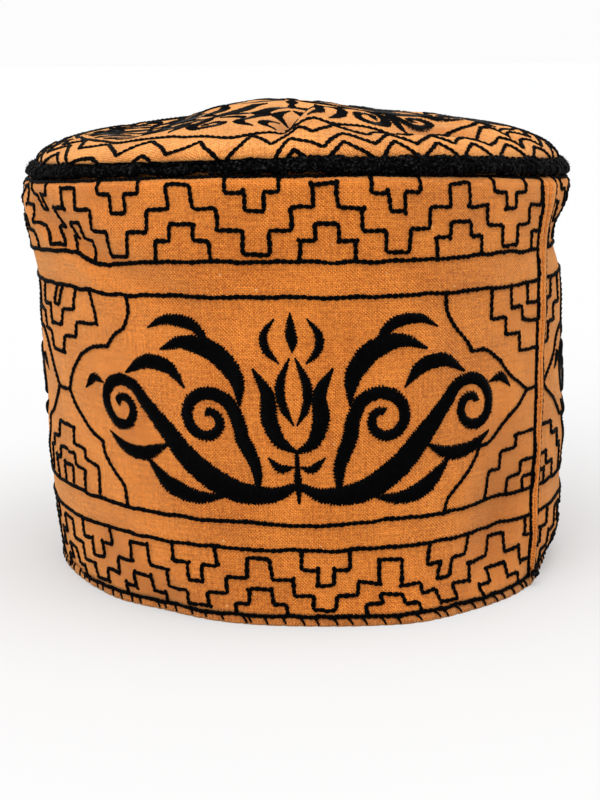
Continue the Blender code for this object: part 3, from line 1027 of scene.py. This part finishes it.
# How much further the motif reaches where the ring was pulled outwards: angle, spread, share
CROWN_WIDER = (-28, 26, 0.07)
TULIP_MIDDLE = (
    [(0, 3, 0.5), (0, 9, 2.2), (0, 16, 0.5)],
    [(0, 16, 0.6), (0, 21, 1.2), (0, 26, 0.7)],
    [(0, 57, 0.3), (0, 61.5, 2.0), (0, 67, 0.3)],
)
TULIP_HALF = (
    [(0, 24, 0.6), (6, 28, 2.3), (9, 36, 3.0), (8.6, 44, 2.4), (13, 53, 0.4)],
    [(0.6, 32, 0.3), (3.6, 38.5, 1.5), (4.2, 46, 1.7), (1, 55, 0.3)],
    [(3.6, 55, 0.3), (7.6, 59, 1.4), (8.0, 64, 1.3), (4.6, 68, 0.3)],
    [(10.5, 51, 0.3), (14.6, 55.5, 1.5), (14.4, 61, 1.5), (11, 66.5, 0.3)],
)
LEAF_MIDDLE = ([(0, 15, 0.4), (0, 26, 2.6), (0, 36, 3.0), (0, 47, 0.4)],)
LEAF_HALF = (
    [(0.5, 46, 0.4), (2.6, 53, 1.6)] + volute(8.6, 60.5, (5.6, 1.5), 190, -400, (1.8, 1.1)),
    [(3.6, 47, 0.3), (9, 46.5, 1.8), (13.6, 51, 0.3)],
    [(2.0, 40, 0.3), (6.5, 38, 1.4), (9.0, 33, 0.3)],
)
LEAF_TIP = ([(0, 57, 0.3), (0, 62, 1.5), (0, 68.5, 0.3)],)


def crown_strokes():
    strokes = []
    for k in range(2 * CROWN_TURNS):
        middle, half = (TULIP_MIDDLE, TULIP_HALF) if k % 2 == 0 else (LEAF_MIDDLE + LEAF_TIP, LEAF_HALF)
        turn = math.pi * k / CROWN_TURNS
        drawn = list(middle) + [[(side * x, y, w) for x, y, w in line] for line in half for side in (1, -1)]
        for line in drawn:
            x, y, w = np.array(line, dtype=float).T * MILLIMETRE
            across = x * math.cos(turn) + y * math.sin(turn)
            back = x * math.sin(turn) - y * math.cos(turn)
            angle = np.degrees(np.arctan2(across, -back))
            wider = CROWN_REACH + CROWN_WIDER[2] * bell(turn_between(angle, CROWN_WIDER[0]), CROWN_WIDER[1])
            strokes.append(np.stack([across * wider, back * wider, w], axis=1))
    return strokes


# Cord

BRAID_LENGTH = 0.0068
BRAID_STRANDS = 3
BRAID_WIDTH = 0.00140
BRAID_DEPTH = 0.00075
BRAID_STRAND_RADIUS = 0.00135
SAMPLES_PER_BRAID = 18
STRAND_SIDES = 10
BRAID_TILT = 35.0
CORD_UNEVEN = 0.06
CORD_WAVE_UP = 0.00022
CORD_WAVE_OUT = 0.00018
# Where the cord is unlike its usual self: angle, spread, change in size and how far it rides up
CORD_SWELLINGS = (
    (-20, 26, -0.17, 0.0),
    (34, 34, 0.16, 0.0006),
    (81, 10, 0.12, -0.0009),
)
CORD_HAIRS = 3800
HAIR_LENGTH = 0.0012
HAIR_RADIUS = 0.00007


def smooth_noise(count, reach):
    """Noise round a ring, even over about this many samples."""
    noise = rng.normal(size=count)
    ring = np.concatenate([noise[-reach:], noise, noise[:reach]])
    return np.convolve(ring, level_weights(reach), mode="valid")


def cord_course():
    """The cord's middle line, frame and size at even spacing, and each sample's turn in the braid."""
    around = np.linspace(0, 360, 1441)
    ring = on_rim(around, CORD_RADIUS, 0.0)
    length = lengths_along(ring)
    braids = int(round(length[-1] / BRAID_LENGTH))
    count = braids * SAMPLES_PER_BRAID
    at = np.arange(count) * length[-1] / count
    middle = sample(length, ring, at)
    angle = np.interp(at, length, around)
    heading = unit(np.roll(middle, -1, axis=0) - np.roll(middle, 1, axis=0))
    out = unit(np.cross(heading, UPWARDS))
    rise = np.cross(out, heading)
    size = 1 + CORD_UNEVEN * smooth_noise(count, 14)
    lift = CORD_WAVE_UP * smooth_noise(count, 18)
    for centre, spread, change, raised in CORD_SWELLINGS:
        near = bell(turn_between(angle, centre), spread)
        size = size + change * near
        lift = lift + raised * near
    middle = middle + rise * lift[:, None]
    middle = middle + out * (CORD_WAVE_OUT * smooth_noise(count, 14))[:, None]
    phase = 2 * math.pi * np.arange(count) / SAMPLES_PER_BRAID + 0.8 * smooth_noise(count, 24)
    return middle, heading, out, rise, size, phase


def make_cord(material):
    """A three-strand braid round the rim, each strand of two twisted plies, with stray hairs."""
    middle, heading, out, rise, size, phase = cord_course()
    count = len(middle)
    lean = math.radians(BRAID_TILT)
    wide = rise * math.cos(lean) - out * math.sin(lean)
    thick = out * math.cos(lean) + rise * math.sin(lean)
    points = []
    for k in range(BRAID_STRANDS):
        t = phase + 2 * math.pi * k / BRAID_STRANDS
        line = middle + wide * (BRAID_WIDTH * size * np.sin(t))[:, None]
        line = line + thick * (BRAID_DEPTH * size * np.sin(2 * t))[:, None]
        step = unit(np.roll(line, -1, axis=0) - np.roll(line, 1, axis=0))
        first = unit(np.cross(step, wide))
        second = np.cross(step, first)
        plump = size * (1 + 0.12 * smooth_noise(count, 7))
        for side in range(STRAND_SIDES):
            turn = 2 * math.pi * side / STRAND_SIDES
            ply = 1 + 0.17 * np.cos(2 * turn - 4 * phase) + 0.07 * smooth_noise(count, 2)
            radius = (BRAID_STRAND_RADIUS * plump * ply)[:, None]
            points.append(line + radius * (first * math.cos(turn) + second * math.sin(turn)))
    points = np.stack(points).reshape(BRAID_STRANDS, STRAND_SIDES, count, 3).transpose(0, 2, 1, 3)
    # Each face is turned over, so that the strands face outwards
    faces = repeated(closed_faces(count, STRAND_SIDES)[:, [0, 3, 2, 1]], BRAID_STRANDS)
    cord = mesh_object("braided_cord", points.reshape(-1, 3), faces, material)
    dress(cord, "black_thread", "crown_cord")

    root = rng.integers(0, count, CORD_HAIRS)
    turn = rng.uniform(0, 2 * math.pi, CORD_HAIRS)[:, None]
    away = out[root] * np.cos(turn) + rise[root] * np.sin(turn)
    along = heading[root] * rng.uniform(-1, 1, (CORD_HAIRS, 1))
    start = middle[root] + away * (0.80 * CORD_RADIUS * size[root])[:, None]
    reach = HAIR_LENGTH * rng.uniform(0.4, 1.0, (CORD_HAIRS, 1))
    bend = start + (along + 0.6 * away) * reach * 0.5
    tip = start + (along + 0.75 * away) * reach
    tip = tip + rng.normal(0, 0.00012, (CORD_HAIRS, 3))
    spine = np.stack([start, bend, tip], axis=1)
    thin = HAIR_RADIUS * np.array([1.0, 0.8, 0.25])[None, :, None]
    beside = np.cross(heading[root], away)
    corners = [
        spine + thin * (away * math.cos(a) + beside * math.sin(a))[:, None]
        for a in (0.0, 2 * math.pi / 3, 4 * math.pi / 3)
    ]
    corners = np.stack(corners, axis=2)
    faces = repeated(grid_faces(3, 3, True), CORD_HAIRS)
    hairs = mesh_object("cord_hairs", corners.reshape(-1, 3), faces, material)
    dress(hairs, "black_thread")


# Hem stitches and knot

TUBE_SIDES = 6
KNOT_ANGLE = 60.0
KNOT_ASIDE = 0.0045
KNOT_LOOPS = 7
KNOT_LOOP_SHARE = 0.36
KNOT_LOOP_SHIFT = 0.0008
KNOT_THREAD_RADIUS = 0.00034


def tube(points, radius, sides=TUBE_SIDES):
    """Corner points of an open-ended tube along these points."""
    heading = unit(np.gradient(points, axis=0))
    guide = UPWARDS if abs(heading[0, 2]) < 0.9 else np.array([1.0, 0.0, 0.0])
    first = unit(np.cross(heading, guide))
    second = np.cross(heading, first)
    turns = 2 * math.pi * np.arange(sides) / sides
    ring = first[:, None] * np.cos(turns)[None, :, None] + second[:, None] * np.sin(turns)[None, :, None]
    return points[:, None] + ring * np.reshape(radius, (-1, 1, 1))


def tube_mesh(name, tubes, material):
    points = []
    faces = []
    start = 0
    for corners in tubes:
        count, sides, _ = corners.shape
        points.append(corners.reshape(-1, 3))
        faces.append(grid_faces(count, sides, True) + start)
        start += count * sides
    return mesh_object(name, np.concatenate(points), np.concatenate(faces), material)


def make_whip_stitches(material, stitches):
    """Slanted stitches that wrap the hem roll."""
    tubes = []
    for angle in stitches:
        t = np.linspace(0, 1, 9)
        inset, height = hem_outline(math.pi * (0.55 - rng.uniform(0.51, 0.545) * t))
        angles = angle + WHIP_LEAN * t * (1 + rng.normal(0, 0.15))
        out = fold_depth(angles, WALL_FOOT, ALL_WALL_FOLDS) - inset + 0.0001
        line = on_ring(angles, WALL_FOOT + 0.0 * angles, out)
        line[:, 2] = np.maximum(height, 0.00042)
        tubes.append(tube(line, WHIP_RADIUS * np.sqrt(np.sin(math.pi * (0.15 + 0.60 * t)))))
    dress(tube_mesh("hem_stitches", tubes, material), "black_thread")


def make_knot(material):
    """A small ball of wound thread beside the foot of the seam."""
    radius = (HEM_HALF_WIDTH + HEM_HALF_DEPTH) / 2
    angle = KNOT_ANGLE - math.degrees((KNOT_ASIDE + KNOT_LENGTH / 2) / radius)
    gap = KNOT_THICKNESS / 2 + HEM_ROLL_PROUD + CLEARANCE
    out = fold_depth(angle, WALL_FOOT, ALL_WALL_FOLDS) + gap
    centre = on_ring(np.array([angle]), np.array([WALL_FOOT]), out)[0]
    centre[2] = WALL_FOOT + KNOT_THICKNESS / 2
    turn = math.radians(angle)
    right = np.array([math.cos(turn), math.sin(turn), 0.0])
    out = np.array([math.sin(turn), -math.cos(turn), 0.0])
    tubes = []
    for _ in range(KNOT_LOOPS):
        t = np.linspace(0, 2 * math.pi, 25)
        tilt = rng.uniform(0, math.pi)
        shift = rng.uniform(-0.5, 0.5)
        x = np.cos(t) * KNOT_LENGTH * KNOT_LOOP_SHARE + shift * KNOT_LOOP_SHIFT
        y = np.sin(t) * math.cos(tilt) * KNOT_THICKNESS * KNOT_LOOP_SHARE
        z = np.sin(t) * math.sin(tilt) * KNOT_THICKNESS * KNOT_LOOP_SHARE
        line = centre + x[:, None] * right + y[:, None] * out + z[:, None] * UPWARDS
        tubes.append(tube(line, np.full(len(t), KNOT_THREAD_RADIUS)))
    dress(tube_mesh("wound_knot", tubes, material), "black_thread", "thread_knot")


# Materials

WEAVE_PITCH = 0.00056
TWILL_PITCH = 0.0011
# Darkest and lightest cloth, in linear light, on the wall, on the crown, paler there as painted light on its
# top, and at the hem, darker there as painted shade where it curls under
WALL_CLOTH = ((0.37, 0.079, 0.007), (0.90, 0.276, 0.038))
CROWN_CLOTH_PAINTED_LIGHT = ((0.38, 0.100, 0.016), (0.90, 0.350, 0.082))
HEM_CLOTH_PAINTED_SHADE = ((0.26, 0.062, 0.008), (0.64, 0.205, 0.042))
# Pale slubs, and how high the noise must stand to make one
SPECK = (0.95, 0.60, 0.30)
SPECK_LEVEL = 0.755
THREAD_DARK = (0.0003, 0.0003, 0.0005)
# Lighter blacks of the glints painted into each thread's colour
LINE_LIGHT = (0.0060, 0.0058, 0.0068)
SATIN_LIGHT = (0.0034, 0.0036, 0.0050)
CORD_LIGHT = (0.0230, 0.0220, 0.0220)


def new_material(name):
    material = bpy.data.materials.new(name)
    material.use_nodes = True
    tree = material.node_tree
    return material, tree, tree.nodes["Principled BSDF"]


class Value:
    """A number in a shader. Sums and products of such numbers make its nodes."""

    def __init__(self, tree, socket):
        self.tree = tree
        self.socket = socket

    def worked(self, operation, *values):
        node = self.tree.nodes.new("ShaderNodeMath")
        node.operation = operation
        for place, value in zip(node.inputs, values):
            put(self.tree, place, value)
        return Value(self.tree, node.outputs[0])

    def __add__(self, other):
        return self.worked("ADD", self, other)

    def __sub__(self, other):
        return self.worked("SUBTRACT", self, other)

    def __rsub__(self, other):
        return self.worked("SUBTRACT", other, self)

    def __mul__(self, other):
        return self.worked("MULTIPLY", self, other)

    def wave(self):
        return self.worked("SINE", self)

    def size(self):
        return self.worked("ABSOLUTE", self)

    def kept(self, least, most):
        return self.worked("MINIMUM", self.worked("MAXIMUM", self, least), most)


def put(tree, place, value):
    """Gives an input a value, which may be another node's."""
    if isinstance(value, Value):
        value = value.socket
    if isinstance(value, bpy.types.NodeSocket):
        tree.links.new(value, place)
    elif place.type == "RGBA":
        place.default_value = (*value, 1.0)
    else:
        place.default_value = value


def noise(tree, vector, scale, detail):
    node = tree.nodes.new("ShaderNodeTexNoise")
    node.inputs["Scale"].default_value = scale
    node.inputs["Detail"].default_value = detail
    tree.links.new(vector, node.inputs["Vector"])
    return Value(tree, node.outputs["Fac"])


def colour_mix(tree, amount, first, second, blend="MIX"):
    node = tree.nodes.new("ShaderNodeMix")
    node.data_type = "RGBA"
    node.blend_type = blend
    for k, value in ((0, amount), (6, first), (7, second)):
        put(tree, node.inputs[k], value)
    return node.outputs[2]


def combined(tree, x, y):
    node = tree.nodes.new("ShaderNodeCombineXYZ")
    put(tree, node.inputs[0], x)
    put(tree, node.inputs[1], y)
    return node.outputs[0]


def bumped(tree, shader, height, strength, distance):
    bump = tree.nodes.new("ShaderNodeBump")
    bump.inputs["Strength"].default_value = strength
    bump.inputs["Distance"].default_value = distance
    put(tree, bump.inputs["Height"], height)
    tree.links.new(bump.outputs[0], shader.inputs["Normal"])


def cotton(name, dark, light):
    """Woven cotton between two colours, with uneven threads, slight fading, and painted shade in creases and
    between the threads.
    """
    material, tree, shader = new_material(name)
    uv = tree.nodes.new("ShaderNodeUVMap")
    uv.uv_map = "cloth"
    flat = uv.outputs[0]
    split = tree.nodes.new("ShaderNodeSeparateXYZ")
    tree.links.new(flat, split.inputs[0])
    u = Value(tree, split.outputs[0])
    v = Value(tree, split.outputs[1])
    sway = (noise(tree, flat, 260, 2) - 0.5) * 0.0011
    u_wave = ((u + sway) * (math.pi / WEAVE_PITCH)).wave()
    v_wave = ((v + sway) * (math.pi / WEAVE_PITCH)).wave()
    # Where the warp lies over the weft, and how high the upper thread stands
    over = (u_wave * v_wave * 4.0 + 0.5).kept(0.0, 1.0)
    under = 1.0 - over
    top = u_wave.size() * over + v_wave.size() * under
    warp_streak = noise(tree, combined(tree, u * 26.0, v), 70, 2)
    weft_streak = noise(tree, combined(tree, u, v * 26.0), 70, 2)
    streak = warp_streak * over + weft_streak * under
    patch = noise(tree, flat, 38, 4)
    grain = noise(tree, flat, 900, 3)
    twill = ((u + v + sway * 0.5) * (2 * math.pi / TWILL_PITCH)).wave()
    tone = streak * 1.5 + patch * 0.9 + over * 0.26 + grain * 1.4 + twill * 0.16 - 1.53
    body = colour_mix(tree, tone.kept(0.0, 1.0), dark, light)
    speck = ((noise(tree, flat, 420, 1) - SPECK_LEVEL) * 14.0).kept(0.0, 0.42)
    body = colour_mix(tree, speck, body, SPECK)
    # Painted shade in creases: the colour is darkened towards the dark cloth by how deep the crease is
    crease_shade = tree.nodes.new("ShaderNodeAttribute")
    crease_shade.attribute_name = "crease_shade"
    body = colour_mix(tree, Value(tree, crease_shade.outputs["Fac"]) * 0.75, body, dark)
    # Painted shade between the threads: the colour is darkened where the upper thread dips
    gap = (top * 0.65 + 0.50).kept(0.0, 1.0)
    painted_gap_shade = tree.nodes.new("ShaderNodeCombineColor")
    for place in painted_gap_shade.inputs:
        put(tree, place, gap)
    colour = colour_mix(tree, 1.0, body, painted_gap_shade.outputs[0], "MULTIPLY")
    tree.links.new(colour, shader.inputs["Base Color"])
    shader.inputs["Roughness"].default_value = 0.86
    shader.inputs["Specular IOR Level"].default_value = 0.12
    shader.inputs["Sheen Weight"].default_value = 0.36
    shader.inputs["Sheen Roughness"].default_value = 0.45
    shader.inputs["Sheen Tint"].default_value = (1.0, 0.84, 0.42, 1.0)
    fuzz = noise(tree, flat, 2600, 2)
    bumped(tree, shader, top + fuzz * 0.5 + twill * 0.25, 0.8, 0.00025)
    return material


def black_thread(name, light, roughness, shine, fineness=2600):
    """Black thread with a faint fibre grain, and painted glints of a lighter black here and there."""
    material, tree, shader = new_material(name)
    place = tree.nodes.new("ShaderNodeTexCoord").outputs["Object"]
    grain = noise(tree, place, fineness, 3)
    wide = noise(tree, place, 420, 3)
    # Painted glints: where the grain stands high, the colour turns to the lighter black
    tone = ((grain * 0.75 + wide * 0.25 - 0.53) * 6.0).kept(0.0, 1.0)
    tree.links.new(colour_mix(tree, tone, THREAD_DARK, light), shader.inputs["Base Color"])
    shader.inputs["Roughness"].default_value = roughness
    shader.inputs["Specular IOR Level"].default_value = shine
    bumped(tree, shader, grain, 0.4, 0.0001)
    return material


def plain_white():
    material, tree, shader = new_material("pale_floor")
    place = tree.nodes.new("ShaderNodeTexCoord").outputs["Object"]
    colour = colour_mix(tree, noise(tree, place, 3, 2), *FLOOR_COLOURS)
    tree.links.new(colour, shader.inputs["Base Color"])
    shader.inputs["Roughness"].default_value = 0.9
    shader.inputs["Specular IOR Level"].default_value = 0.0
    shader.inputs["Emission Color"].default_value = (1.0, 1.0, 1.0, 1.0)
    shader.inputs["Emission Strength"].default_value = 0.25
    return material


# Stage, lights and camera

FLOOR_HALF = 12.0
FLOOR_COLOURS = ((0.364, 0.364, 0.366), (0.370, 0.370, 0.370))
WORLD_LEVEL = 0.975
CAMERA_PLACE = (0.00031, -0.61798, 0.18757)
CAMERA_PITCH = 12.06
CAMERA_ROLL = -0.46
CAMERA_LENS = 76.08
SENSOR = 36.0
# Each light comes from a heading round from the front and a height in degrees. Its level
# is what a surface facing it gets, as a share of the room's own light.
LIGHT_COLUMNS = ("name", "heading", "height", "level", "softness")
LIGHTS = (
    ("overhead", 15, 78, 0.72, 60),
    ("window", -35, 36, 0.42, 45),
    ("right", 95, 30, 0.14, 60),
    ("left", -100, 30, 0.08, 60),
)


def make_stage():
    corners = np.array([(-1, -1, 0), (1, -1, 0), (1, 1, 0), (-1, 1, 0)]) * FLOOR_HALF
    floor = mesh_object("floor", corners.astype(float), np.array([[0, 1, 2, 3]]), plain_white())
    world = bpy.data.worlds.new("pale_room")
    world.use_nodes = True
    back = world.node_tree.nodes["Background"]
    back.inputs["Color"].default_value = (1.0, 1.0, 1.0, 1.0)
    back.inputs["Strength"].default_value = WORLD_LEVEL
    bpy.context.scene.world = world
    bpy.context.scene.view_settings.view_transform = "Standard"


def make_lights():
    for row in rows_of(LIGHT_COLUMNS, LIGHTS):
        data = bpy.data.lights.new(row["name"], "SUN")
        data.energy = math.pi * row["level"]
        data.angle = math.radians(row["softness"])
        light = bpy.data.objects.new(row["name"], data)
        heading = math.radians(row["heading"])
        height = math.radians(row["height"])
        source = Vector((math.sin(heading) * math.cos(height), -math.cos(heading) * math.cos(height),
                         math.sin(height)))
        light.rotation_euler = source.to_track_quat("Z", "Y").to_euler()
        light.location = source
        bpy.context.scene.collection.objects.link(light)


def make_camera():
    data = bpy.data.cameras.new("photo_view")
    data.lens = CAMERA_LENS
    data.sensor_width = SENSOR
    data.sensor_height = SENSOR
    data.clip_end = 100.0
    camera = bpy.data.objects.new("photo_view", data)
    tip = Matrix.Rotation(math.radians(90 - CAMERA_PITCH), 4, "X")
    roll = Matrix.Rotation(math.radians(CAMERA_ROLL), 4, "Z")
    camera.matrix_world = Matrix.Translation(CAMERA_PLACE) @ tip @ roll
    bpy.context.scene.collection.objects.link(camera)
    bpy.context.scene.camera = camera


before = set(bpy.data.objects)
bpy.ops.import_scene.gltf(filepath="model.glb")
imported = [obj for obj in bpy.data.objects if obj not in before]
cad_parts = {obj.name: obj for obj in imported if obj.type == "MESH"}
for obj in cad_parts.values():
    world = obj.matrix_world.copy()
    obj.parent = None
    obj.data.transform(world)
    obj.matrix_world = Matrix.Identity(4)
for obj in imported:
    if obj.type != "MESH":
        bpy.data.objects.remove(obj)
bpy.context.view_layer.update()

# The plan's shift from the part's own axes, from where its side wall stands
PLAN_SHIFT = (0.0, 0.0)
plan_angles, plan_levels = np.meshgrid(np.arange(0, 360, 5.0), np.linspace(WALL_FOOT, SHOULDER_START, 11))
plan = solid_wall(plan_angles, plan_levels).reshape(-1, 3)
wall_low, wall_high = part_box("side_wall")
PLAN_SHIFT = tuple(
    (wall_low[k] + wall_high[k] - plan[:, k].min() - plan[:, k].max()) / 2 for k in (0, 1)
)

cloth = cotton("orange_cotton", *WALL_CLOTH)
# The crown's cloth is paler: painted light on its top
crown_cloth_painted_light = cotton("crown_cotton_painted_light", *CROWN_CLOTH_PAINTED_LIGHT)
# The hem's cloth is darker: painted shade where the roll curls under
hem_cloth_painted_shade = cotton("hem_cotton_painted_shade", *HEM_CLOTH_PAINTED_SHADE)
line_thread = black_thread("chain_thread", LINE_LIGHT, 0.60, 0.03)
satin_thread = black_thread("satin_thread", SATIN_LIGHT, 0.42, 0.025)
cord_thread = black_thread("cord_thread", CORD_LIGHT, 0.50, 0.012, 1200)

make_wall(cloth)
make_crown(crown_cloth_painted_light)
stitches = 360 * (np.arange(WHIP_STITCHES) + rng.normal(0, 0.20, WHIP_STITCHES)) / WHIP_STITCHES
make_hem(hem_cloth_painted_shade, stitches)

rings = [ring_path(height) for height in (*RING_HEIGHTS, CORD_LINE)]
top_band = band_paths(TOP_BAND_START, RING_HEIGHTS[0], CORD_LINE, TOP_LEVELS)
bottom_band = band_paths(BOTTOM_BAND_START, RING_HEIGHTS[4], RING_HEIGHTS[3], BOTTOM_LEVELS)
stitched("top_band_stitches", wall_at, sewn(top_band), line_thread)
stitched("bottom_band_stitches", wall_at, sewn(bottom_band), line_thread)
stitched("ring_stitches", wall_at, sewn(rings) + seam_paths(), line_thread)
stitched("panel_stitches", wall_at, sewn(panel_paths()), line_thread)
stitched("crown_stitches", crown_at, crown_paths(), line_thread, CROWN_SUNK)

PANEL_MIDDLE = (RING_HEIGHTS[1] + RING_HEIGHTS[2]) / 2
for k in range(len(JOINTS)):
    joint = JOINTS[k][0]
    middle = joint + turn_between(JOINTS[(k + 1) % len(JOINTS)][0], joint) / 2
    strokes = scroll_strokes(middle, PANEL_MIDDLE)
    satin(f"scroll_{k + 1}", wall_at, strokes, SATIN_PAD, satin_thread)
satin("crown_scroll", crown_at, crown_strokes(), CROWN_SATIN_PAD, satin_thread)

make_cord(cord_thread)
make_whip_stitches(line_thread, stitches)
make_knot(cord_thread)

make_stage()
make_lights()
make_camera()
